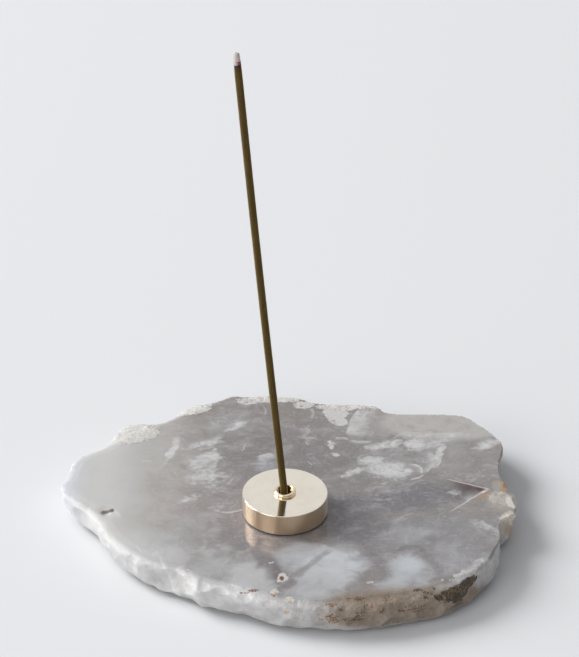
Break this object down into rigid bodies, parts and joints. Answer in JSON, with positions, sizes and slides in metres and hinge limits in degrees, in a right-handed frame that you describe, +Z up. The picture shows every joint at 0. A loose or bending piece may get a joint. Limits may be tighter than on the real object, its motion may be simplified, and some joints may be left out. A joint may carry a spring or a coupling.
{
  "type": "incense burner",
  "caption": "Low turned brass stick holder standing loose on a polished slice of pale banded stone with a natural edge; the leaning incense stick lifts out and the holder lifts off.",
  "frame": {"origin": "on the table under the middle of the slab, in the plane the four feet stand on", "axes": "+Z up; +X to the viewer's right along the slab's width; +Y to the back along its depth"},
  "size_m": [0.163, 0.135, 0.1828],
  "materials": {
    "chalcedony": "polished",
    "clear_foot": "satin",
    "satin_brass": "satin",
    "polished_brass": "polished",
    "dark_pad": "matte",
    "incense": "matte",
    "ember": "matte",
    "ash": "matte"
  },
  "bodies": {
    "slab": {"stone_slab": "chalcedony", "foot_front_left": "clear_foot", "foot_front_right": "clear_foot", "foot_rear_left": "clear_foot", "foot_rear_right": "clear_foot"},
    "holder": {"holder_disc": "satin_brass", "holder_ferrule": "polished_brass", "holder_pad": "dark_pad"},
    "stick": {"incense_stick": "incense", "ember_tip": "ember", "ash_tip": "ash"}
  },
  "joints": [
    {"name": "holder_lift", "type": "slide", "parent": "slab", "child": "holder", "axis": [0, 0, 1], "range_m": [0, 0.05]},
    {"name": "stick_pull", "type": "slide", "parent": "holder", "child": "stick", "axis": [-0.0964, 0.1326, 0.9865], "range_m": [0, 0.03]}
  ]
}
